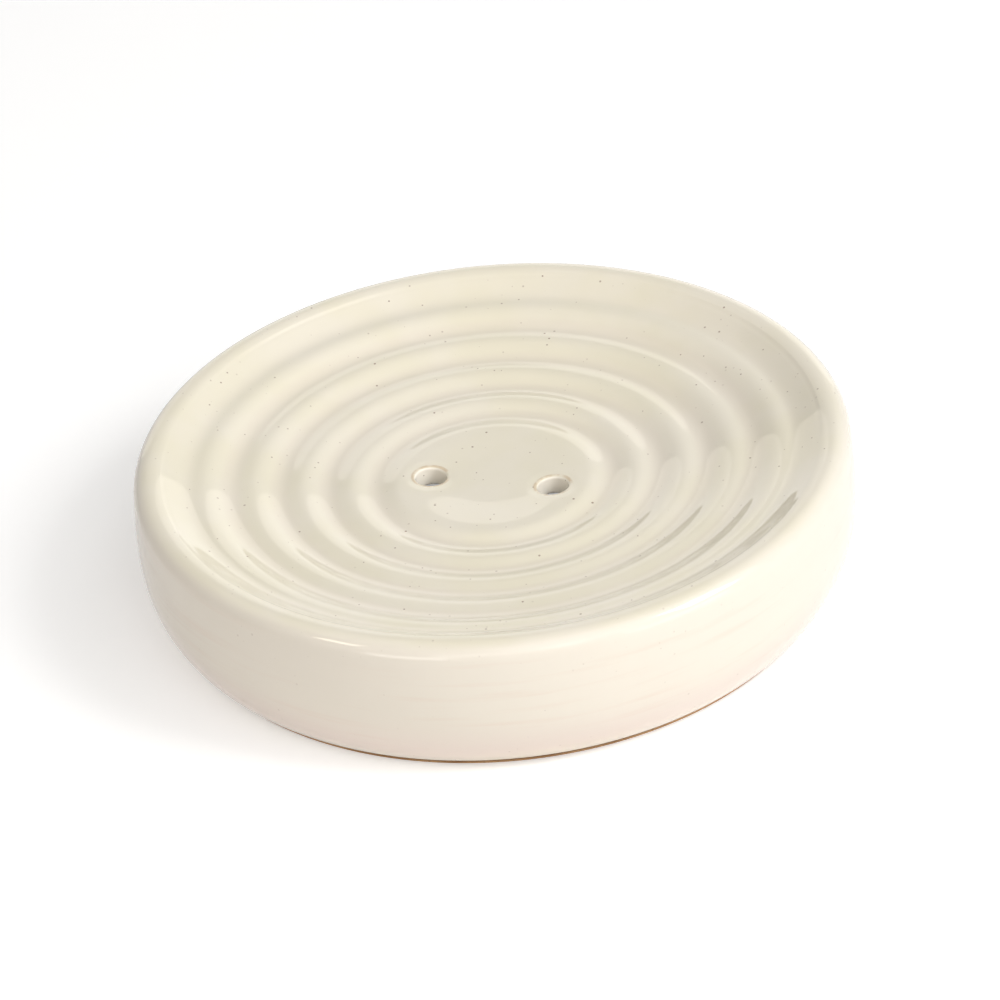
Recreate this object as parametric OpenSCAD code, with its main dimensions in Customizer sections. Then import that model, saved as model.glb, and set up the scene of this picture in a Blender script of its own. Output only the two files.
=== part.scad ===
// Round soap dish, hand finished: one fired stoneware body in a fused coat of ivory glaze.
// The bowl's face carries round finger ridges and two drain holes. The dish stands on a
// bare ring foot, and water drains through the holes into the open hollow inside the ring.
// Millimetres, +Z up. The origin is the centre of the foot ring, on the table.

/* [Dish] */
// Widest diameter, at the belly of the wall
dish_d = 120; // [110:1:140]
// Height from the table to the rim
dish_h = 25; // [23:0.5:32]
// Height of the wall's widest point
belly_h = 14; // [10:0.5:16]
// How far the rim's crest lies inside the belly, on each side
rim_set_in = 3.4; // [3.2:0.1:5]
// How far the foot's outer edge lies inside the belly, on each side
foot_set_in = 4.9; // [3:0.1:8]

/* [Rim] */
// Radius of the lip where it turns over to the wall
lip_out_r = 2.8; // [1.6:0.1:3]
// Radius of the lip where it runs down into the bowl
lip_in_r = 4.2; // [3:0.1:6]
// Slope of the bank just inside the lip, in degrees
bank_slope = 31; // [28:1:38]
// Height of the rim above the last groove
bank_h = 2.7; // [2.2:0.1:3.6]
// Height over which the foot of the bank blends into the last groove
bank_blend_h = 0.75; // [0.3:0.05:1.2]
// Width of the rim, from the belly in to the last groove
rim_w = 8.6; // [8:0.1:11]

/* [Bowl] */
// Depth of the bowl's flat centre disc below the rim
bowl_depth = 7.9; // [7:0.1:10]
// Diameter of the flat centre disc
disc_d = 27.6; // [27:0.2:32]
// Width of the step from the disc up to the first ridge
disc_step_w = 1.8; // [1.6:0.1:3]
// Height of the first ridge above the disc
disc_step_h = 0.25; // [0.1:0.05:0.5]
// Number of finger ridges round the disc
ridge_count = 5; // [3:1:7]
// Height of each ridge above the grooves beside it
ridge_h = 0.75; // [0.4:0.05:1.4]

/* [Body] */
// Thickness of the bowl's floor at the disc, glaze and all
floor_t = 3.6; // [3.2:0.1:5]
// Width of the ring foot at the table, glaze and all
foot_w = 6; // [5:0.1:9]
// Radius of the corner between the foot's inner wall and the floor
hollow_corner_r = 5; // [3:0.5:7]

/* [Glaze] */
// Thickness of the fused glaze
glaze_t = 0.4; // [0.3:0.05:0.5]
// Height above the table at which the glaze stops and the foot is bare
glaze_line_h = 0.7; // [0.5:0.1:2]

/* [Drain holes] */
// Diameter of each drain hole, inside the glaze
drain_d = 5.2; // [3:0.1:5.4]
// Distance between the two holes' centres
drain_spacing = 21; // [16:0.5:21]
// How far the pair was punched off centre, along its own line
drain_shift_x = -0.2; // [-0.6:0.1:0.6]
// How far the pair was punched off centre, square to its line
drain_shift_y = -0.7; // [-1:0.1:1]
// Radius of the clay's wiped edge round each hole, under the glaze
wiped_edge_r = 0.1; // [0.05:0.05:0.4]

/* [Hidden] */

// Facets of a full turn
$fn = 120;
// How far a cutting tool runs past what it cuts
cut_over = 3;
// Steps along each wall, lip or corner curve
curve_steps = 10;
// Steps along each ridge
ridge_steps = 12;
// How square the lower wall's curve is at the belly and at the foot, where 2 is an ellipse
belly_power = 2.45;
foot_power = 1.25;
// How fast the bowl rises from the disc outwards, where 1 is a cone and 2 is a round bowl
bowl_power = 2.1;

// Radii and heights that the outline runs through
belly_r = dish_d / 2;
crest_r = belly_r - rim_set_in;
foot_r = belly_r - foot_set_in;
foot_inner_r = foot_r - foot_w;
disc_r = disc_d / 2;
floor_z = dish_h - bowl_depth;
ceiling_z = floor_z - floor_t;

// The upper wall is one arc, upright at the belly and tangent to the lip
lip_c = [crest_r, dish_h - lip_out_r];
lip_rise = lip_c.y - belly_h;
wall_r = (rim_set_in ^ 2 + lip_rise ^ 2 - lip_out_r ^ 2) / (2 * (rim_set_in - lip_out_r));
wall_c = [belly_r - wall_r, belly_h];
wall_turn = atan2(lip_rise, wall_r - rim_set_in);

// The ridges are spaced evenly between the disc and the rim
first_crest_r = disc_r + disc_step_w;
last_groove_r = belly_r - rim_w;
ridge_pitch = (last_groove_r - first_crest_r) / (ridge_count - 1 / 2);
groove_z = floor_z + disc_step_h - ridge_h;

// Height of the bowl along the bottoms of its grooves, and its slope there
bowl_rise = dish_h - bank_h - groove_z;
bowl_run = last_groove_r - first_crest_r;
function bowl_share(r) = max(r - first_crest_r, 0) / bowl_run;
function bowl_z(r) = groove_z + bowl_rise * bowl_share(r) ^ bowl_power;
function bowl_slope(r) = atan(bowl_rise * bowl_power / bowl_run * bowl_share(r) ^ (bowl_power - 1));

// Height of the ridges above that
function ridge_z(r) = bowl_z(r) + ridge_h / 2 * (1 + cos(360 * (r - first_crest_r) / ridge_pitch));

// The bank is a cone that runs up into the lip here
join_r = crest_r - lip_in_r * sin(bank_slope);
join_z = dish_h - lip_in_r * (1 - cos(bank_slope));
function bank_z(r) = join_z - (join_r - r) * tan(bank_slope);

// The higher one of two heights, with a soft hollow where they cross
function blended(a, b, over) = max(a, b) + max(over - abs(a - b), 0) ^ 2 / (4 * over);

// Height of the bowl's face: the disc, half a wave up to the first ridge, the waves and the bank
function face_z(r) =
    r <= disc_r ? floor_z
    : r < first_crest_r ? floor_z + disc_step_h / 2 * (1 - cos(180 * (r - disc_r) / disc_step_w))
    : blended(ridge_z(r), bank_z(r), bank_blend_h);

// Height of the floor's underside, which follows the bottoms of the grooves
function under_z(r) = bowl_z(r) - groove_z + ceiling_z;

// Radius of the lower wall at a height, from the glaze line up to the belly
function lower_wall_r(z) =
    let (share = (z - glaze_line_h) / (belly_h - glaze_line_h))
        foot_r + foot_set_in * (1 - (1 - share) ^ belly_power) ^ (1 / foot_power);

// Points of an arc about c, without the first one
function arc(c, r, from, to) =
    [for (i = [1:curve_steps])
        let (a = from + (to - from) * i / curve_steps)
            c + r * [cos(a), sin(a)]];

// Even steps from one value to another, both ends included
function steps(from, to, count) = [for (i = [0:count]) from + (to - from) * i / count];

// A path moved over to its left by a distance, each point along its own normal
function shifted(path, by) =
    [for (i = [0:len(path) - 1])
        let (along = path[min(i + 1, len(path) - 1)] - path[max(i - 1, 0)])
            path[i] + by * [-along.y, along.x] / norm(along)];

function reversed(path) = [for (i = [len(path) - 1:-1:0]) path[i]];

// Glazed surface from the glaze line up the wall, over the lip and across the face to the axis
face_steps = ceil((join_r - disc_r) / ridge_pitch * ridge_steps);
top_path = concat(
    [for (z = steps(glaze_line_h, belly_h, curve_steps)) [lower_wall_r(z), z]],
    arc(wall_c, wall_r, 0, wall_turn),
    arc(lip_c, lip_out_r, wall_turn, 90),
    arc([crest_r, dish_h - lip_in_r], lip_in_r, 90, 90 + bank_slope),
    [for (r = steps(join_r, disc_r, face_steps)) if (r < join_r) [r, face_z(r)]],
    [[0, floor_z]]
);

// Glazed surface of the hollow, from the axis out under the floor and down the foot's inner wall
corner_c_r = foot_inner_r - hollow_corner_r;
corner_slope = bowl_slope(corner_c_r - hollow_corner_r * sin(bowl_slope(corner_c_r)));
corner_r = corner_c_r - hollow_corner_r * sin(corner_slope);
corner_c = [corner_c_r, under_z(corner_r) - hollow_corner_r * cos(corner_slope)];
hollow_path = concat(
    [[0, ceiling_z]],
    [for (r = steps(disc_r, corner_r, 2 * curve_steps)) [r, under_z(r)]],
    arc(corner_c, hollow_corner_r, 90 + corner_slope, 0),
    [[foot_inner_r, glaze_line_h]]
);

// The clay lies one glaze thickness inside both paths, and its foot is bare
clay_outline = concat(
    shifted(top_path, glaze_t),
    shifted(hollow_path, glaze_t),
    [[foot_inner_r + glaze_t, 0], [foot_r - glaze_t, 0]]
);

// Half section of a drain hole, widened by a margin, with its rounded mouths above and below
module drain_section(margin, low, high) {
    mouth_r = wiped_edge_r + glaze_t;
    mouth_c_r = drain_d / 2 + mouth_r;
    translate([0, low]) square([drain_d / 2 + margin, high - low]);
    difference() {
        translate([0, floor_z - mouth_r]) square([mouth_c_r, high - floor_z + mouth_r]);
        translate([mouth_c_r, floor_z - mouth_r]) circle(r = mouth_r - margin);
    }
    difference() {
        translate([0, low]) square([mouth_c_r, ceiling_z + mouth_r - low]);
        translate([mouth_c_r, ceiling_z + mouth_r]) circle(r = mouth_r - margin);
    }
}

module at_drains() {
    for (side = [-1, 1])
        translate([drain_shift_x + side * drain_spacing / 2, drain_shift_y, 0]) children();
}

module drain_cutter(margin) {
    at_drains() rotate_extrude() drain_section(margin, ceiling_z - cut_over, floor_z + cut_over);
}

// Fired clay: the whole body of the dish, bare only at the foot
module stoneware_body() {
    color("#b78f66")
        difference() {
            rotate_extrude() polygon(clay_outline);
            drain_cutter(glaze_t);
        }
}

// Glaze fused to the clay: over the wall, rim and bowl, through the holes and into the hollow
module glaze_coat() {
    color("#f1e9d8")
        difference() {
            union() {
                rotate_extrude()
                    polygon(concat(top_path, reversed(shifted(top_path, glaze_t))));
                rotate_extrude()
                    polygon(concat(hollow_path, reversed(shifted(hollow_path, glaze_t))));
                at_drains()
                    rotate_extrude()
                        drain_section(glaze_t, ceiling_z + glaze_t / 2, floor_z - glaze_t / 2);
            }
            drain_cutter(0);
        }
}

stoneware_body();
glaze_coat();
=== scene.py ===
import math

import bmesh
import bpy
from mathutils import Matrix, Vector, noise


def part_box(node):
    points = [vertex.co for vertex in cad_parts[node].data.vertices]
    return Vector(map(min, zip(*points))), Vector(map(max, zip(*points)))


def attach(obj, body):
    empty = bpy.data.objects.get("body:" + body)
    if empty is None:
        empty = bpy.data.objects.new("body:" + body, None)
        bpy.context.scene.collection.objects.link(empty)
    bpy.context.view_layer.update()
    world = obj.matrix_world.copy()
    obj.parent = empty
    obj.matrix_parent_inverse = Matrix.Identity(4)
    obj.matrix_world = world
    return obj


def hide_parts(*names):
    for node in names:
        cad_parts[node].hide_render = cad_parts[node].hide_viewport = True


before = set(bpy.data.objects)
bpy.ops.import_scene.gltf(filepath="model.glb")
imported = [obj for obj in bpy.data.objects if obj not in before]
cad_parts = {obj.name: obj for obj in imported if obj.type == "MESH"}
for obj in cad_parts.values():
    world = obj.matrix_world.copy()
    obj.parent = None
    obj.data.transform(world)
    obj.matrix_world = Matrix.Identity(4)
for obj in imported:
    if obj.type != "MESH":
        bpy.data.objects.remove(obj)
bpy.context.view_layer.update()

MM = 0.001

# Sizes of the dish, in metres, as the construction has them
GLAZE_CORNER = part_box("glaze_coat")[1]
BELLY_R = GLAZE_CORNER.x
DISH_H = GLAZE_CORNER.z
BELLY_H = 14.0 * MM
RIM_SET_IN = 3.4 * MM
FOOT_SET_IN = 4.9 * MM
LIP_OUT_R = 2.8 * MM
LIP_IN_R = 4.2 * MM
RIM_W = 8.6 * MM
BANK_SLOPE = math.radians(31)
BANK_H = 2.7 * MM
BANK_BLEND_H = 0.75 * MM
BOWL_DEPTH = 7.9 * MM
BOWL_POWER = 2.1
FIRST_CREST_R = 15.6 * MM
FIRST_CREST_H = 0.25 * MM
RIDGE_COUNT = 5
RIDGE_H = 0.75 * MM
FLOOR_T = 3.6 * MM
FOOT_W = 6.0 * MM
HOLLOW_CORNER_R = 5.0 * MM
GLAZE_T = 0.4 * MM
GLAZE_LINE_H = 0.7 * MM
DRAIN_R = 2.6 * MM
DISH_AXIS = Vector((0, 0))
DRAIN_CENTRES = [Vector((-10.7 * MM, -0.7 * MM)), Vector((10.3 * MM, -0.7 * MM))]
MOUTH_R = 0.5 * MM
BELLY_POWER = 2.45
FOOT_POWER = 1.25

CREST_R = BELLY_R - RIM_SET_IN
FOOT_R = BELLY_R - FOOT_SET_IN
FOOT_INNER_R = FOOT_R - FOOT_W
FLOOR_Z = DISH_H - BOWL_DEPTH
CEILING_Z = FLOOR_Z - FLOOR_T
LIP_RISE = DISH_H - LIP_OUT_R - BELLY_H
WALL_R = (RIM_SET_IN ** 2 + LIP_RISE ** 2 - LIP_OUT_R ** 2) / (2 * (RIM_SET_IN - LIP_OUT_R))
WALL_TURN = math.atan2(LIP_RISE, WALL_R - RIM_SET_IN)
JOIN_R = CREST_R - LIP_IN_R * math.sin(BANK_SLOPE)
JOIN_Z = DISH_H - LIP_IN_R * (1 - math.cos(BANK_SLOPE))
GROOVE_Z = FLOOR_Z + FIRST_CREST_H - RIDGE_H
LAST_GROOVE_R = BELLY_R - RIM_W
RIDGE_PITCH = (LAST_GROOVE_R - FIRST_CREST_R) / (RIDGE_COUNT - 0.5)
BOWL_RISE = DISH_H - BANK_H - GROOVE_Z
BOWL_RUN = LAST_GROOVE_R - FIRST_CREST_R

# The middle of the disc is pressed a little hollow by the thrower's finger
HOLLOW_H = 0.13 * MM
HOLLOW_R = 5.5 * MM
# The clay foot stands up to a small ledge, just inside the glaze that hangs over it
FOOT_STEP_IN = 0.14 * MM
FOOT_STEP_H = 0.46 * MM
FOOT_ROUND = 0.15 * MM

# How far the hand-thrown shape strays from the true one, always inwards and down
OUT_OF_ROUND = 0.2 * MM
OVAL_TURN = 0.5
RIM_DIP = 0.15 * MM
RIM_DIP_TURN = 1.0
SWELL_H = 0.06 * MM
SWELL_WIDTH = 16 * MM
THROWING_RING_H = 0.05 * MM
THROWING_RING_PITCH = 2.4 * MM
# Powers by which the rim's dip fades down the wall and into the bowl, and the rings inwards from the wall
DIP_FADE_DOWN = 4
DIP_FADE_IN = 8
RING_FADE = 4
# How far each ridge's circle has drifted off centre, in millimetres, and towards which angle
RIDGE_DRIFTS = [(0.0, 0), (0.3, 110), (0.5, 110), (0.3, 110), (0.2, 290)]
# Depth to which the punch drew the face down round each drain hole
DRAIN_DIP = 0.1 * MM

# Mesh fineness
TURN_STEPS = 184
FACE_STEP = 0.5 * MM
FINE_STEP = 0.3 * MM
WALL_STEP = 0.45 * MM
HIDDEN_STEP = 1.2 * MM
MOUTH_STEP = math.pi / 16
EDGE_STEPS = 6
DRAIN_CLEARING_R = 4.6 * MM
WELD = 0.003 * MM
# How many times coarser the surfaces between glaze and clay are, where nobody sees them
SHOWN = 1
INNER_TOP = 2.5
INNER_HOLLOW = 2

# The rings of the mesh are finest in the band that the drain holes lie in
FINE_INNER_R = min(c.length for c in DRAIN_CENTRES) - DRAIN_CLEARING_R
FINE_OUTER_R = max(c.length for c in DRAIN_CENTRES) + DRAIN_CLEARING_R


def bowl_share(r):
    """How far out in the bowl a radius lies: 0 at the first crest and 1 at the last groove."""
    return max(r - FIRST_CREST_R, 0) / BOWL_RUN


def bowl_z(r):
    """Height of the bowl along the bottoms of its grooves."""
    return GROOVE_Z + BOWL_RISE * bowl_share(r) ** BOWL_POWER


def bowl_slope(r):
    """Angle at which the bottoms of the grooves climb."""
    return math.atan(BOWL_RISE / BOWL_RUN * BOWL_POWER * bowl_share(r) ** (BOWL_POWER - 1))


def face_z(r):
    """Height of the bowl's face: a shallow disc up to the first ridge, the waves and the bank."""
    if r < FIRST_CREST_R:
        turn = math.pi * max(r - HOLLOW_R, 0) / (FIRST_CREST_R - HOLLOW_R)
        return FLOOR_Z - HOLLOW_H + (HOLLOW_H + FIRST_CREST_H) * (1 - math.cos(turn)) / 2
    turn = 2 * math.pi * (r - FIRST_CREST_R) / RIDGE_PITCH
    ridges = bowl_z(r) + RIDGE_H / 2 * (1 + math.cos(turn))
    bank = JOIN_Z - (JOIN_R - r) * math.tan(BANK_SLOPE)
    over = max(BANK_BLEND_H - abs(ridges - bank), 0)
    return max(ridges, bank) + over ** 2 / (4 * BANK_BLEND_H)


def ceiling_z(r):
    """Height of the floor's underside, which follows the bottoms of the grooves."""
    return bowl_z(r) - GROOVE_Z + CEILING_Z


def lower_wall_r(z):
    """Radius of the wall at a height, from the glaze line up to the belly."""
    share = (z - GLAZE_LINE_H) / (BELLY_H - GLAZE_LINE_H)
    return FOOT_R + FOOT_SET_IN * (1 - (1 - share) ** BELLY_POWER) ** (1 / FOOT_POWER)


def steps(start, end, step):
    """Even steps of about that size from start to end, without start itself."""
    count = max(1, round(abs(end - start) / step))
    return [start + (end - start) * i / count for i in range(1, count + 1)]


def arc(centre, radius, start, end, step):
    """Points of an arc, as (radius, height), without the first one."""
    angles = steps(start, end, step / radius)
    return [(centre[0] + radius * math.cos(a), centre[1] + radius * math.sin(a)) for a in angles]


def shifted(path, by):
    """A path moved to its left, each point along its own normal."""
    moved = []
    for i, (r, z) in enumerate(path):
        before = path[max(i - 1, 0)]
        after = path[min(i + 1, len(path) - 1)]
        along = Vector((after[0] - before[0], after[1] - before[1])).normalized()
        moved.append((r - by * along.y, z + by * along.x))
    return moved


def top_path(coarseness):
    """Half section of the glazed surface from the glaze line up the wall and over to the axis."""
    wall = WALL_STEP * coarseness
    face = FACE_STEP * coarseness
    lip_c = (CREST_R, DISH_H - LIP_OUT_R)
    path = [(lower_wall_r(GLAZE_LINE_H), GLAZE_LINE_H)]
    path += [(lower_wall_r(z), z) for z in steps(GLAZE_LINE_H, BELLY_H, wall)]
    path += arc((BELLY_R - WALL_R, BELLY_H), WALL_R, 0, WALL_TURN, wall)
    path += arc(lip_c, LIP_OUT_R, WALL_TURN, math.pi / 2, wall / 2)
    path += arc((CREST_R, DISH_H - LIP_IN_R), LIP_IN_R, math.pi / 2, math.pi / 2 + BANK_SLOPE, wall / 2)
    path += [(r, face_z(r)) for r in steps(JOIN_R, FINE_OUTER_R, face)]
    path += [(r, face_z(r)) for r in steps(FINE_OUTER_R, FINE_INNER_R, FINE_STEP)]
    path += [(r, face_z(r)) for r in steps(FINE_INNER_R, 0, FACE_STEP * 2)]
    return path


def hollow_path(coarseness):
    """Half section of the glazed hollow from the axis out to the glaze line inside the foot."""
    wall = WALL_STEP * coarseness * 2
    c_r = FOOT_INNER_R - HOLLOW_CORNER_R
    slope = bowl_slope(c_r - HOLLOW_CORNER_R * math.sin(bowl_slope(c_r)))
    start_r = c_r - HOLLOW_CORNER_R * math.sin(slope)
    c_z = ceiling_z(start_r) - HOLLOW_CORNER_R * math.cos(slope)
    radii = [0.0] + steps(0, FINE_INNER_R, FACE_STEP * 2)
    radii += steps(FINE_INNER_R, FINE_OUTER_R, FINE_STEP) + steps(FINE_OUTER_R, start_r, HIDDEN_STEP)
    path = [(r, ceiling_z(r)) for r in radii]
    path += arc((c_r, c_z), HOLLOW_CORNER_R, math.pi / 2 + slope, 0, wall)
    path += [(FOOT_INNER_R, z) for z in steps(c_z, GLAZE_LINE_H, wall)]
    return path


def foot_path():
    """Half section of the bare foot, from the glaze line inside it to the ledge outside."""
    inner = FOOT_INNER_R + GLAZE_T
    outer = FOOT_R - FOOT_STEP_IN
    edge = WALL_STEP / 4
    path = [(inner, z) for z in steps(GLAZE_LINE_H, FOOT_ROUND, WALL_STEP)]
    path += arc((inner + FOOT_ROUND, FOOT_ROUND), FOOT_ROUND, math.pi, 1.5 * math.pi, edge)
    path += [(r, 0.0) for r in steps(inner + FOOT_ROUND, outer - FOOT_ROUND, FACE_STEP)]
    path += arc((outer - FOOT_ROUND, FOOT_ROUND), FOOT_ROUND, -math.pi / 2, 0, edge)
    path += [(outer, FOOT_STEP_H), (FOOT_R - GLAZE_T, FOOT_STEP_H)]
    return path


def glaze_edge(inner, outer):
    """Rounded edge where the glaze stops, from its inner skin to its outer one."""
    a, b = Vector(inner), Vector(outer)
    middle, half = (a + b) / 2, (b - a) / 2
    out = Vector((half.y, -half.x))
    if out.y > 0:
        out = -out
    turns = [math.pi * i / EDGE_STEPS for i in range(1, EDGE_STEPS)]
    return [tuple(middle - half * math.cos(t) + out * math.sin(t)) for t in turns]


def turned(sections):
    """A mesh turned on the wheel: each section is a path of (radius, height) with both ends on the axis."""
    mesh = bmesh.new()
    for path in sections:
        verts = [mesh.verts.new((r, 0, z)) for r, z in path]
        edges = [mesh.edges.new(pair) for pair in zip(verts, verts[1:])]
        bmesh.ops.spin(mesh, geom=verts + edges, cent=(0, 0, 0), axis=(0, 0, 1),
                       angle=math.pi / 2, steps=TURN_STEPS // 4, use_duplicate=False)
    for axis in ("X", "Y"):
        bmesh.ops.mirror(mesh, geom=mesh.faces[:] + mesh.edges[:] + mesh.verts[:],
                         matrix=Matrix.Identity(4), merge_dist=WELD, axis=axis)
    bmesh.ops.remove_doubles(mesh, verts=mesh.verts, dist=WELD)
    return mesh


def open_rings(mesh, centre):
    """Clears the mesh round a drain hole and gives each open ring of points there, the highest first."""
    near = [f for f in mesh.faces
            if (f.calc_center_median().xy - centre).length < DRAIN_CLEARING_R - FINE_STEP / 2]
    bmesh.ops.delete(mesh, geom=near, context="FACES")
    loose = {e for e in mesh.edges if e.is_boundary}
    rings = []
    while loose:
        edge = loose.pop()
        ring = [edge.verts[0], edge.verts[1]]
        while ring[-1] != ring[0]:
            edge = next(e for e in ring[-1].link_edges if e in loose)
            loose.remove(edge)
            ring.append(edge.other_vert(ring[-1]))
        rings.append(ring[:-1])
    return sorted(rings, key=lambda ring: -sum(v.co.z for v in ring) / len(ring))


def mouth_section(margin, dip):
    """Distance from the drain hole's axis and drop below the face, from the clearing down the bore."""
    c_r = DRAIN_R + MOUTH_R
    radius = MOUTH_R - margin
    across = DRAIN_CLEARING_R - c_r
    dish = [(d, margin + dip * (1 + math.cos(math.pi * (d - c_r) / across)) / 2)
            for d in [DRAIN_CLEARING_R] + steps(DRAIN_CLEARING_R, c_r, FINE_STEP)]
    edge = dip + margin
    turn = [(c_r - radius * math.sin(a), radius * (1 - math.cos(a)) + edge)
            for a in steps(0, math.pi / 2, MOUTH_STEP)]
    middle = (FLOOR_T - FACE_STEP) / 2
    bore = [(DRAIN_R + margin, drop) for drop in steps(MOUTH_R + dip, middle, FACE_STEP)]
    return dish + turn + bore


def lay_round(verts, centre, at, face, side):
    """Lays points on a circle about a drain hole, at a drop from the face above or below it."""
    distance, drop = at
    for v in verts:
        spot = centre + (v.co.xy - centre).normalized() * distance
        v.co = (spot.x, spot.y, face(spot.length) - side * drop)


def drill(mesh, centre, margins):
    """Opens a drain hole through pairs of surfaces; each margin says how deep in the glaze a pair lies."""
    rings = open_rings(mesh, centre)
    collar = bmesh.new()
    for i, margin in enumerate(margins):
        ends = []
        for ring, face, side, dip in ((rings[i], face_z, 1, DRAIN_DIP), (rings[-1 - i], ceiling_z, -1, 0)):
            verts = [collar.verts.new(v.co) for v in ring]
            edges = [collar.edges.new((a, b)) for a, b in zip(verts, verts[1:] + verts[:1])]
            section = mouth_section(margin, dip)
            lay_round(ring, centre, section[0], face, side)
            lay_round(verts, centre, section[0], face, side)
            for at in section[1:]:
                made = bmesh.ops.extrude_edge_only(collar, edges=edges)["geom"]
                edges = [g for g in made if isinstance(g, bmesh.types.BMEdge)]
                lay_round({v for e in edges for v in e.verts}, centre, at, face, side)
            ends += edges
        bmesh.ops.bridge_loops(collar, edges=ends)
    joined = bpy.data.meshes.new("collar")
    collar.to_mesh(joined)
    collar.free()
    mesh.from_mesh(joined)
    bpy.data.meshes.remove(joined)
    bmesh.ops.remove_doubles(mesh, verts=mesh.verts, dist=WELD)


def ridge_drift(r, angle):
    """How far the ridges have drifted outwards at a place on the bowl's face."""
    at = (r - FIRST_CREST_R) / RIDGE_PITCH
    before = min(max(math.floor(at), 0), RIDGE_COUNT - 2)
    share = min(max(at - before, 0), 1)
    share = (1 - math.cos(math.pi * share)) / 2
    out = [size * MM * math.cos(angle - math.radians(way)) for size, way in RIDGE_DRIFTS]
    drift = out[before] * (1 - share) + out[before + 1] * share
    inner = min(r / FIRST_CREST_R, 1)
    outer = min(max((LAST_GROOVE_R - r) / RIDGE_PITCH, 0) * 2, 1)
    return drift * inner * outer


def hand_thrown(mesh):
    """Moves every point of a true shape to where the thrower's hands left it."""
    for v in mesh.verts:
        x, y, z = v.co
        r = math.hypot(x, y)
        angle = math.atan2(y, x)
        lift = 0.0
        if r < JOIN_R:
            under = ceiling_z(r)
            height = min(max((z - under) / (face_z(r) - under), 0), 1)
            lift = height * (face_z(max(r - ridge_drift(r, angle), 0)) - face_z(r))
            swell = noise.noise(Vector((x, y, 0)) / SWELL_WIDTH)
            lift += height * SWELL_H * (swell - 1)
        dip = (z / DISH_H) ** DIP_FADE_DOWN * min(r / JOIN_R, 1) ** DIP_FADE_IN
        lift -= RIM_DIP * dip * (1 + math.cos(2 * angle + RIM_DIP_TURN)) / 2
        ring = noise.noise(Vector((x / SWELL_WIDTH, y / SWELL_WIDTH, z / THROWING_RING_PITCH)))
        past_foot = min(max((r - FOOT_INNER_R) / (FOOT_R - FOOT_INNER_R), 0), 1)
        on_wall = past_foot ** RING_FADE * min(z / BELLY_H, 1)
        oval = (2 + math.cos(2 * angle) + math.cos(3 * angle + OVAL_TURN)) / 4
        inward = OUT_OF_ROUND * oval * r / BELLY_R + THROWING_RING_H * on_wall * (1 - ring) / 2
        scale = 1 - inward / r if r > WELD else 1
        v.co = (x * scale, y * scale, z + lift)


def thrown_piece(name, sections, margins):
    """A finished piece at the origin: turned, drilled, strayed by hand, closed and facing outwards."""
    mesh = turned(sections)
    for centre in DRAIN_CENTRES:
        drill(mesh, centre, margins)
    hand_thrown(mesh)
    bmesh.ops.recalc_face_normals(mesh, faces=mesh.faces)
    for face in mesh.faces:
        face.smooth = True
    data = bpy.data.meshes.new(name)
    mesh.to_mesh(data)
    mesh.free()
    piece = bpy.data.objects.new(name, data)
    bpy.context.scene.collection.objects.link(piece)
    return piece


# The glaze is a coat over the top and one in the hollow, joined by the drain holes' walls
glaze_top = top_path(SHOWN)
glaze_hollow = hollow_path(SHOWN)
clay_top = shifted(top_path(INNER_TOP), GLAZE_T)
clay_hollow = shifted(hollow_path(INNER_HOLLOW), GLAZE_T)
over_coat = clay_top[::-1] + glaze_edge(clay_top[0], glaze_top[0]) + glaze_top
under_coat = glaze_hollow + glaze_edge(glaze_hollow[-1], clay_hollow[-1]) + clay_hollow[::-1]
glaze = thrown_piece("ivory_glaze", [over_coat, under_coat], [0.0, GLAZE_T])

# The clay fills the space between the coats and stands on its bare foot
clay = thrown_piece("stoneware_clay", [clay_hollow + foot_path() + clay_top], [GLAZE_T])


def linear(code):
    """An sRGB hex colour as linear values with full alpha."""
    values = [int(code[i:i + 2], 16) / 255 for i in (1, 3, 5)]
    return [v / 12.92 if v <= 0.04045 else ((v + 0.055) / 1.055) ** 2.4 for v in values] + [1]


def add(tree, kind, inputs=None, **settings):
    """Adds a shader node with its settings; each input is given a value or linked to a socket."""
    made = tree.nodes.new("ShaderNode" + kind)
    for name, value in settings.items():
        setattr(made, name, value)
    for key, value in (inputs or {}).items():
        if isinstance(value, bpy.types.NodeSocket):
            tree.links.new(value, made.inputs[key])
        else:
            made.inputs[key].default_value = value
    return made


# The usual IOR of glaze, fired clay and paper
USUAL_IOR = 1.5


def new_material(name, colour, roughness):
    """A material whose shader has its plain colour and roughness."""
    material = bpy.data.materials.new(name)
    material.use_nodes = True
    shader = material.node_tree.nodes["Principled BSDF"]
    shader.inputs["Base Color"].default_value = linear(colour)
    shader.inputs["Roughness"].default_value = roughness
    shader.inputs["IOR"].default_value = USUAL_IOR
    return material, material.node_tree, shader


def place_in_mm(tree):
    """The place on the object in millimetres, and its height above the table."""
    spot = add(tree, "VectorMath", {0: add(tree, "TexCoord").outputs["Object"], "Scale": 1 / MM},
               operation="SCALE").outputs[0]
    return spot, add(tree, "SeparateXYZ", {0: spot}).outputs["Z"]


def away_from(tree, spot, axis):
    """Level distance in millimetres from an upright axis, whose place is in metres."""
    out = add(tree, "VectorMath", {0: spot, 1: (axis.x / MM, axis.y / MM, 0)},
              operation="SUBTRACT").outputs[0]
    level = add(tree, "VectorMath", {0: out, 1: (1, 1, 0)}, operation="MULTIPLY").outputs[0]
    return add(tree, "VectorMath", {0: level}, operation="LENGTH").outputs["Value"]


def ramp(tree, value, start, end, low=0.0, high=1.0):
    """A smooth step from low at start to high at end."""
    inputs = {"Value": value, "From Min": start, "From Max": end, "To Min": low, "To Max": high}
    return add(tree, "MapRange", inputs, interpolation_type="SMOOTHSTEP").outputs["Result"]


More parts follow.
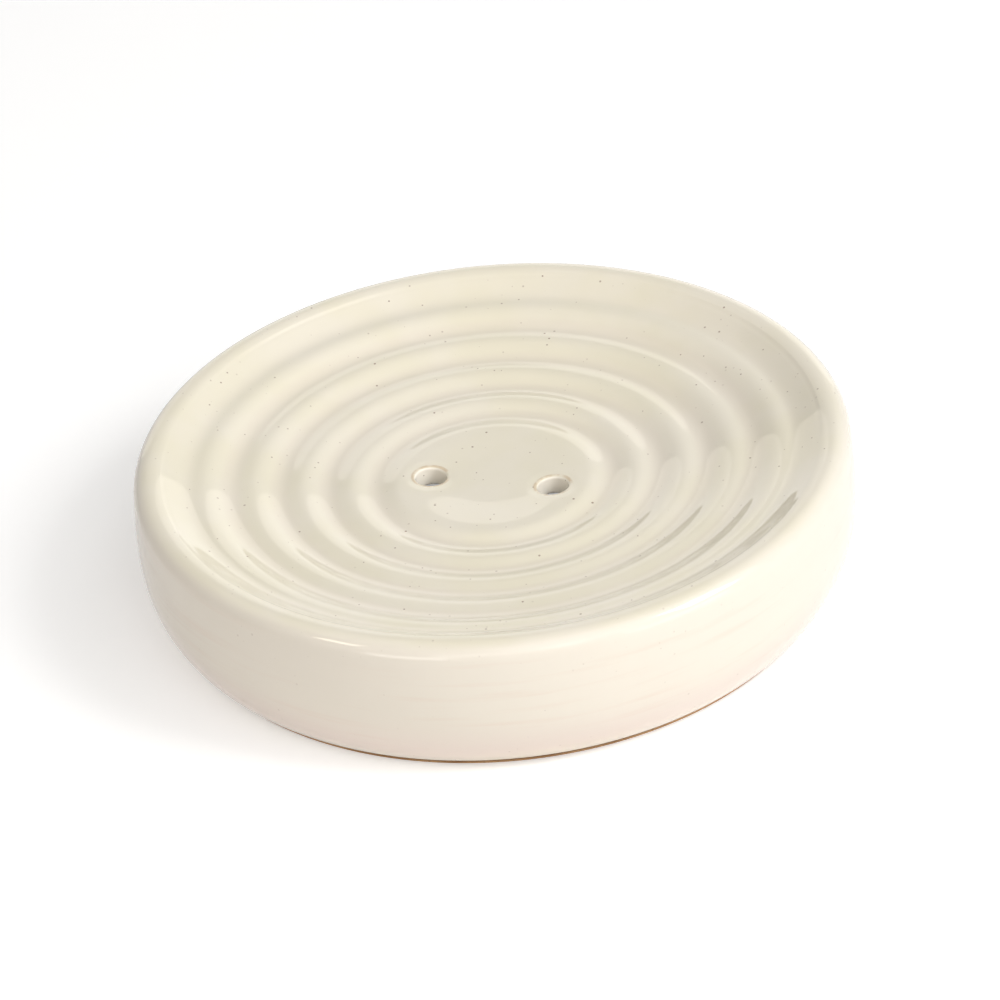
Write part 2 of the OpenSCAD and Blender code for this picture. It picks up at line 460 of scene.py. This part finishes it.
def times(tree, *factors):
    """The product of two or more values."""
    product = factors[0]
    for factor in factors[1:]:
        product = add(tree, "Math", {0: product, 1: factor}, operation="MULTIPLY").outputs[0]
    return product


def tint(tree, share, base, other):
    """Mixes a colour into another one; either is a hex code or a socket."""
    inputs = {0: share}
    for key, value in ((6, base), (7, other)):
        inputs[key] = linear(value) if isinstance(value, str) else value
    return add(tree, "Mix", inputs, data_type="RGBA").outputs[2]


# How much fine detail each kind of noise has, and how strong that detail is
SOFT_DETAIL = 1.0
STREAK_DETAIL = 2.0
CLOUD_DETAIL = 3.0
GRAIN_DETAIL = 4.0
DETAIL_STRENGTH = 0.55


def cloud(tree, spot, size=1.0, detail=CLOUD_DETAIL, turns=None):
    """Noise from 0 to 1 whose blotches are about that many millimetres across.

    Turns, where they are given, say how many blotches a millimetre holds along X, Y and Z.
    """
    if turns:
        spot = add(tree, "Mapping", {"Vector": spot, "Scale": turns}).outputs[0]
    inputs = {"Vector": spot, "Scale": 1 / size, "Detail": detail, "Roughness": DETAIL_STRENGTH}
    return add(tree, "TexNoise", inputs).outputs["Fac"]


# Ivory glaze: its colours
IVORY = "#EFE9D6"
IVORY_WARM = "#F0E9D8"
IVORY_GREENISH = "#EDE6D0"
IVORY_OUTSIDE = "#EDE5D7"
STREAK_TAN = "#E9D9C9"
LOW_WALL_PINK = "#EBD2CC"
# Painted shade for the bottoms of the grooves
GROOVE_SHADE_TAN = "#E6DACB"
HALO_GOLD = "#C4A06A"
# Painted light: a whiter colour that brightens the drain holes' bores
BORE_PAINTED_LIGHT = "#FFF9EC"
# Brown for the glaze's lower edge, partly where it thins and partly painted shade of the contact line
EDGE_BROWN_AND_SHADE = "#846A52"
SPECK_BROWN = "#8A6A55"

# How strongly each tone covers what is under it
STREAK_SHARE = 0.45
LOW_WALL_SHARE = 0.55
GROOVE_SHADE_SHARE = 0.3
HALO_SHARE = 0.5
EDGE_BROWN_AND_SHADE_SHARE = 0.9

# Its roughness in the open and on the brown edge, where it is thin and dry
GLAZE_ROUGHNESS = 0.015
EDGE_ROUGHNESS = 0.45

# Where each tone sets in and where it is full, in millimetres from the dish's axis
OUTSIDE = (57.0, 59.0)
WALL = (55.0, 58.5)
GROOVES_FROM_RIM = (52.0, 48.0)
GROOVES_FROM_DISC = (16.0, 20.0)
BOWL = (59.0, 55.0)
# The same in millimetres above the table
UNDER_LIP = (24.5, 21.0)
LOW_WALL = (13.0, 1.0)
EDGE = (1.05, 0.7)
DRY_EDGE = (1.3, 0.8)
# The same in millimetres from a drain hole's axis
HALO_FROM_OUTSIDE = (3.45, 3.1)
HALO_FROM_BORE = (2.65, 2.9)
# Where the painted light in a bore sets in and is full
BORE_LIGHT_RADII = (2.8, 2.64)

# Its patterns, in millimetres; turns are blotches for each millimetre along X, Y and Z
BLOTCH = 22.0
STREAK_TURNS = (0.035, 0.035, 0.6)
HALO_BREAKS = 2.5
SPECK_SPACING = 1.5
SPECK_R = 0.24
SPECK_CROWD = 9.0
PEEL = 13.0
RING_TURNS = (0.03, 0.03, 0.55)
# Heights of its ripples, in metres
PEEL_H = 0.02 * MM
RING_RIPPLE_H = 0.03 * MM

# Values of its noise at which each pattern sets in and is full
BLOTCH_RANGE = (0.35, 0.65)
STREAK_RANGE = (0.52, 0.75)
HALO_RANGE = (0.35, 0.6)
CROWD_RANGE = (0.3, 0.65)
# The same for the ridges' wave, which is 1 on a crest and -1 in a groove
GROOVE_RANGE = (0.2, -1.0)

# Specks: which cells have one, how large it is where they are few and where they crowd
SPECK_CHANCES = (0.1, 1.0)
CROWD_SIZES = (0.5, 1.0)
# How far outside and inside its outline a speck fades, in spacings
SPECK_EDGE = (0.03, -0.06)
# The faintest and the strongest speck, and how much of one shows outside the bowl and in it
SPECK_STRENGTHS = (0.15, 0.8)
BOWL_STRENGTHS = (0.25, 1.0)


def streaked_wall(tree, colour, spot, height, on_wall):
    """The thrower's rings as faint level streaks under the glaze, and pink clay showing low down."""
    rings = cloud(tree, spot, detail=STREAK_DETAIL, turns=STREAK_TURNS)
    streak = times(tree, ramp(tree, rings, *STREAK_RANGE), on_wall, STREAK_SHARE)
    colour = tint(tree, streak, colour, STREAK_TAN)
    low = times(tree, ramp(tree, height, *LOW_WALL), on_wall, LOW_WALL_SHARE)
    return tint(tree, low, colour, LOW_WALL_PINK)


def shade_in_grooves(tree, colour, radius):
    """Painted shade: a darker tan in the bottoms of the bowl's grooves, where the shade lies."""
    out = add(tree, "Math", {0: radius, 1: FIRST_CREST_R / MM}, operation="SUBTRACT").outputs[0]
    turn = times(tree, out, 2 * math.pi * MM / RIDGE_PITCH)
    wave = add(tree, "Math", {0: turn}, operation="COSINE").outputs[0]
    inside = times(tree, ramp(tree, radius, *GROOVES_FROM_RIM), ramp(tree, radius, *GROOVES_FROM_DISC))
    # Painted shade: the bottoms of the grooves are tinted a darker tan
    groove = times(tree, ramp(tree, wave, *GROOVE_RANGE), inside, GROOVE_SHADE_SHARE)
    return tint(tree, groove, colour, GROOVE_SHADE_TAN)


def golden_mouth_and_lit_bore(tree, colour, spot, centre):
    """Broken golden halo where the glaze thins over a drain hole's mouth, and painted light whitening the
    bore in it.
    """
    away = away_from(tree, spot, centre)
    halo = times(tree, ramp(tree, away, *HALO_FROM_OUTSIDE), ramp(tree, away, *HALO_FROM_BORE))
    breaks = ramp(tree, cloud(tree, spot, HALO_BREAKS), *HALO_RANGE)
    colour = tint(tree, times(tree, halo, breaks, HALO_SHARE), colour, HALO_GOLD)
    # Painted light: the bore is whitened as if lit inside
    return tint(tree, ramp(tree, away, *BORE_LIGHT_RADII), colour, BORE_PAINTED_LIGHT)


def iron_specks(tree, colour, spot, radius):
    """Iron specks burnt through from the clay: one in each cell that happens to reach the surface."""
    cells = add(tree, "TexVoronoi", {"Vector": spot, "Scale": 1 / SPECK_SPACING}, feature="F1")
    chance = add(tree, "SeparateColor", {0: cells.outputs["Color"]})
    crowd = ramp(tree, cloud(tree, spot, SPECK_CROWD, SOFT_DETAIL), *CROWD_RANGE, *CROWD_SIZES)
    size = times(tree, ramp(tree, chance.outputs[0], *SPECK_CHANCES), SPECK_R / SPECK_SPACING, crowd)
    near = add(tree, "Math", {0: cells.outputs["Distance"], 1: size}, operation="SUBTRACT").outputs[0]
    speck = ramp(tree, near, *SPECK_EDGE)
    strength = ramp(tree, chance.outputs[1], 0.0, 1.0, *SPECK_STRENGTHS)
    in_bowl = ramp(tree, radius, *BOWL, *BOWL_STRENGTHS)
    return tint(tree, times(tree, speck, strength, in_bowl), colour, SPECK_BROWN)


def ivory_glaze():
    """Glossy ivory stoneware glaze, dipped and fired over toasted clay.

    It gives the eye a warm white with a faint green cast, a little pinker where the clay shows
    through at the foot, a darker tan in the grooves that is painted shade, golden where it thins at
    the drain holes, whitened bores that are painted light, brown at its lower edge where it thins
    and where painted shade stands for the contact line, fine iron specks, and sharp reflections that ripple
    slightly.
    """
    material, tree, shader = new_material("ivory_stoneware_glaze", IVORY, GLAZE_ROUGHNESS)
    spot, height = place_in_mm(tree)
    radius = away_from(tree, spot, DISH_AXIS)
    on_wall = times(tree, ramp(tree, radius, *WALL), ramp(tree, height, *UNDER_LIP))
    blotch = ramp(tree, cloud(tree, spot, BLOTCH), *BLOTCH_RANGE)
    colour = tint(tree, blotch, IVORY_WARM, IVORY_GREENISH)
    colour = tint(tree, ramp(tree, radius, *OUTSIDE), colour, IVORY_OUTSIDE)
    colour = streaked_wall(tree, colour, spot, height, on_wall)
    # Painted shade in the grooves
    colour = shade_in_grooves(tree, colour, radius)
    # Golden halos at the drain holes, and painted light whitening their bores
    for centre in DRAIN_CENTRES:
        colour = golden_mouth_and_lit_bore(tree, colour, spot, centre)
    # Brown at the glaze's lower edge: partly where it thins, partly painted shade of the contact line
    colour = tint(tree, times(tree, ramp(tree, height, *EDGE), EDGE_BROWN_AND_SHADE_SHARE), colour, EDGE_BROWN_AND_SHADE)
    colour = iron_specks(tree, colour, spot, radius)
    tree.links.new(colour, shader.inputs["Base Color"])
    dry = ramp(tree, height, *DRY_EDGE, GLAZE_ROUGHNESS, EDGE_ROUGHNESS)
    tree.links.new(dry, shader.inputs["Roughness"])

    # Ripples: a soft peel all over, and the thrower's rings on the wall
    peel = cloud(tree, spot, PEEL, SOFT_DETAIL)
    rings = times(tree, cloud(tree, spot, detail=SOFT_DETAIL, turns=RING_TURNS), on_wall)
    bump = add(tree, "Bump", {"Height": peel, "Distance": PEEL_H, "Strength": 1.0})
    bump = add(tree, "Bump", {"Height": rings, "Distance": RING_RIPPLE_H, "Strength": 1.0,
                              "Normal": bump.outputs[0]})
    tree.links.new(bump.outputs[0], shader.inputs["Normal"])
    return material


# Bare stoneware: its colours, and its patterns in millimetres
CLAY_BROWN = "#B98E62"
CLAY_PALE = "#C39B70"
CLAY_TOASTED = "#A97E55"
# Painted shade: the dark line under the overhanging glaze
UNDER_GLAZE_SHADE_BROWN = "#6E4C30"
PORE_BROWN = "#7A5A40"
CLAY_ROUGHNESS = 0.85
TOAST = 9.0
GROG_SPACING = 0.7
CLAY_GRAIN = 0.5
# Height of its grain, in metres
CLAY_GRAIN_H = 0.06 * MM
# Values of its noise at which the toasting sets in and is full
TOAST_RANGE = (0.3, 0.7)
# Heights above the table, in millimetres, at which the painted shade under the glaze sets in and is full
UNDER_GLAZE_SHADE = (0.3, 0.5)
# Where a pore sets in and is full, in spacings from its middle
PORE_EDGE = (0.28, 0.12)
# How strongly the painted shade under the glaze and the pores cover what is under them
UNDER_GLAZE_SHADE_SHARE = 0.6
PORE_SHARE = 0.45


def toasted_clay():
    """Bare stoneware fired to a golden brown: dry, matt and gritty, darker in its pores.

    Just under the glaze it darkens to a line of painted shade, where the glaze overhangs it.
    """
    material, tree, shader = new_material("toasted_stoneware", CLAY_BROWN, CLAY_ROUGHNESS)
    spot, height = place_in_mm(tree)
    toast = ramp(tree, cloud(tree, spot, TOAST), *TOAST_RANGE)
    colour = tint(tree, toast, CLAY_PALE, CLAY_TOASTED)
    # Painted shade: a dark line just under the glaze that overhangs the foot
    under_glaze_shade = ramp(tree, height, *UNDER_GLAZE_SHADE)
    colour = tint(tree, times(tree, under_glaze_shade, UNDER_GLAZE_SHADE_SHARE), colour, UNDER_GLAZE_SHADE_BROWN)
    grog = add(tree, "TexVoronoi", {"Vector": spot, "Scale": 1 / GROG_SPACING}, feature="F1")
    pore = ramp(tree, grog.outputs["Distance"], *PORE_EDGE)
    colour = tint(tree, times(tree, pore, PORE_SHARE), colour, PORE_BROWN)
    tree.links.new(colour, shader.inputs["Base Color"])
    rough = cloud(tree, spot, CLAY_GRAIN, GRAIN_DETAIL)
    bump = add(tree, "Bump", {"Height": rough, "Distance": CLAY_GRAIN_H, "Strength": 1.0})
    tree.links.new(bump.outputs[0], shader.inputs["Normal"])
    return material


for piece, material, stands_for, slot_name in ((glaze, ivory_glaze(), "glaze_coat", "ivory_glaze"),
                                               (clay, toasted_clay(), "stoneware_body", "fired_clay")):
    piece.data.materials.append(material)
    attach(piece, "root")
    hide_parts(stands_for)

# Camera: where it stands, and where the rim's centre lies in its frame
AZIMUTH = math.radians(17.9)
ELEVATION = math.radians(32.37)
ROLL = math.radians(-5.81)
DISTANCE = 600 * MM
FOCAL_PX = 3646.8
FRAME_PX = 1000
RIM_CENTRE_PX = (489.7, 437.7)
SENSOR = 36.0
CLIP_NEAR = 0.05
CLIP_FAR = 20


def make_camera():
    """Sets the camera up by turning it, so that its lens needs no shift."""
    fwd = Vector((-math.sin(AZIMUTH) * math.cos(ELEVATION), math.cos(AZIMUTH) * math.cos(ELEVATION),
                  -math.sin(ELEVATION)))
    level = Vector((math.cos(AZIMUTH), math.sin(AZIMUTH), 0))
    up = level.cross(fwd)
    across = level * math.cos(ROLL) + up * math.sin(ROLL)
    upright = up * math.cos(ROLL) - level * math.sin(ROLL)
    stand = Vector((0, 0, DISH_H)) - fwd * DISTANCE
    off_x = FRAME_PX / 2 - RIM_CENTRE_PX[0]
    off_y = FRAME_PX / 2 - RIM_CENTRE_PX[1]
    aim = (fwd * FOCAL_PX + across * off_x - upright * off_y).normalized()
    right = aim.cross(upright).normalized()
    top = right.cross(aim)
    data = bpy.data.cameras.new("camera")
    data.sensor_width = SENSOR
    data.lens = FOCAL_PX / FRAME_PX * SENSOR
    data.clip_start = CLIP_NEAR
    data.clip_end = CLIP_FAR
    camera = bpy.data.objects.new("camera", data)
    turn = Matrix((right, top, -aim)).transposed()
    camera.matrix_world = Matrix.Translation(stand) @ turn.to_4x4()
    bpy.context.scene.collection.objects.link(camera)
    bpy.context.scene.camera = camera


def seen(tree):
    """1 where the camera, a mirror-like reflection or a view through glass looks, and 0 for the light."""
    path = add(tree, "LightPath")
    rays = [path.outputs[f"Is {kind} Ray"] for kind in ("Camera", "Glossy", "Transmission")]
    most = add(tree, "Math", {0: rays[0], 1: rays[1]}, operation="MAXIMUM").outputs[0]
    return add(tree, "Math", {0: most, 1: rays[2]}, operation="MAXIMUM").outputs[0]


def seen_only(tree, seen_value, otherwise):
    """One value where it is seen, and another one for the light that it gives."""
    inputs = {0: seen(tree), 1: seen_value - otherwise, 2: otherwise}
    return add(tree, "Math", inputs, operation="MULTIPLY_ADD").outputs[0]


# Floor: plain paper just under the foot, lifted to white where it is seen, with the dish's shadow
WHITE = "#FFFFFF"
PAPER = "#EFEFEF"
PAPER_ROUGHNESS = 0.9
FLOOR_GLOW = 0.36
FLOOR_SIZE = 6
FLOOR_DROP = 0.05 * MM


def make_floor():
    bpy.ops.mesh.primitive_plane_add(size=FLOOR_SIZE, location=(0, 0, -FLOOR_DROP))
    floor = bpy.context.object
    floor.name = "floor"
    paper, tree, shader = new_material("white_paper", PAPER, PAPER_ROUGHNESS)
    shader.inputs["Emission Color"].default_value = linear(WHITE)
    tree.links.new(seen_only(tree, FLOOR_GLOW, 0), shader.inputs["Emission Strength"])
    floor.data.materials.append(paper)


# Room: white where it is seen, with little light of its own
ROOM_LIGHT = 0.21


def make_room():
    world = bpy.data.worlds.new("studio")
    world.use_nodes = True
    sky = world.node_tree.nodes["Background"]
    sky.inputs["Color"].default_value = linear(WHITE)
    world.node_tree.links.new(seen_only(world.node_tree, 1, ROOM_LIGHT), sky.inputs["Strength"])
    bpy.context.scene.world = world


# Colours of the lamps that aren't white
FRONT_WARM = "#FFFAF5"
LAMP_WARM = "#FFF0DC"
BACKDROP_CREAM = "#FFF7E8"
HIGH_CREAM = "#FFF2DC"


def softbox(name, azimuth, elevation, distance, size, power, colour=WHITE, shape="RECTANGLE",
            lights=True, mirrored=True):
    """A flat lamp that faces the dish, at angles in degrees about it, with metres and watts."""
    lamp = bpy.data.lights.new(name, "AREA")
    lamp.shape = shape
    lamp.size = size[0]
    lamp.size_y = size[1]
    lamp.energy = power
    lamp.color = linear(colour)[:3]
    box = bpy.data.objects.new(name, lamp)
    a, e = math.radians(azimuth), math.radians(elevation)
    back = Vector((math.cos(a) * math.cos(e), math.sin(a) * math.cos(e), math.sin(e)))
    box.location = back * distance
    box.rotation_mode = "QUATERNION"
    box.rotation_quaternion = back.to_track_quat("Z", "Y")
    box.visible_diffuse = lights
    box.visible_glossy = mirrored
    bpy.context.scene.collection.objects.link(box)


make_camera()
make_floor()
make_room()

# The window on the right shades the ridges and throws the shadow, and the pale wall round it softens both
softbox("window", -5, 42, 1.2, (0.36, 0.42), 5.2)
softbox("window_wall", -24, 52, 1.2, (1.5, 1.1), 6.2)
# Low light from the right, the front and the left fills the bulging wall
softbox("low_right", -22, 12, 1.2, (0.7, 0.35), 1.8)
softbox("front", -72, 30, 1.4, (1.0, 0.5), 2.3, FRONT_WARM)
softbox("front_left", -102, 12, 1.2, (0.5, 0.3), 1.3, FRONT_WARM)
# A small lamp on the left gives the short bright streak on the near lip
softbox("left_lamp", 228, 45, 1.2, (0.22, 0.22), 1.1, LAMP_WARM)
# Light from behind on the right lifts the near ridges and leaves no reflection
softbox("far_right", 72, 12, 1.2, (0.5, 0.4), 1.0, mirrored=False)
# Two pale things behind the dish show only as reflections, on the disc and on the ridges' slopes
softbox("backdrop", 107.9, 0.2, 1.0, (1.2, 1.2), 3.2, BACKDROP_CREAM, "DISK", lights=False)
softbox("high_left", 160, 60, 1.2, (0.8, 0.6), 0.7, HIGH_CREAM, lights=False)
bpy.context.scene.view_settings.view_transform = "Standard"
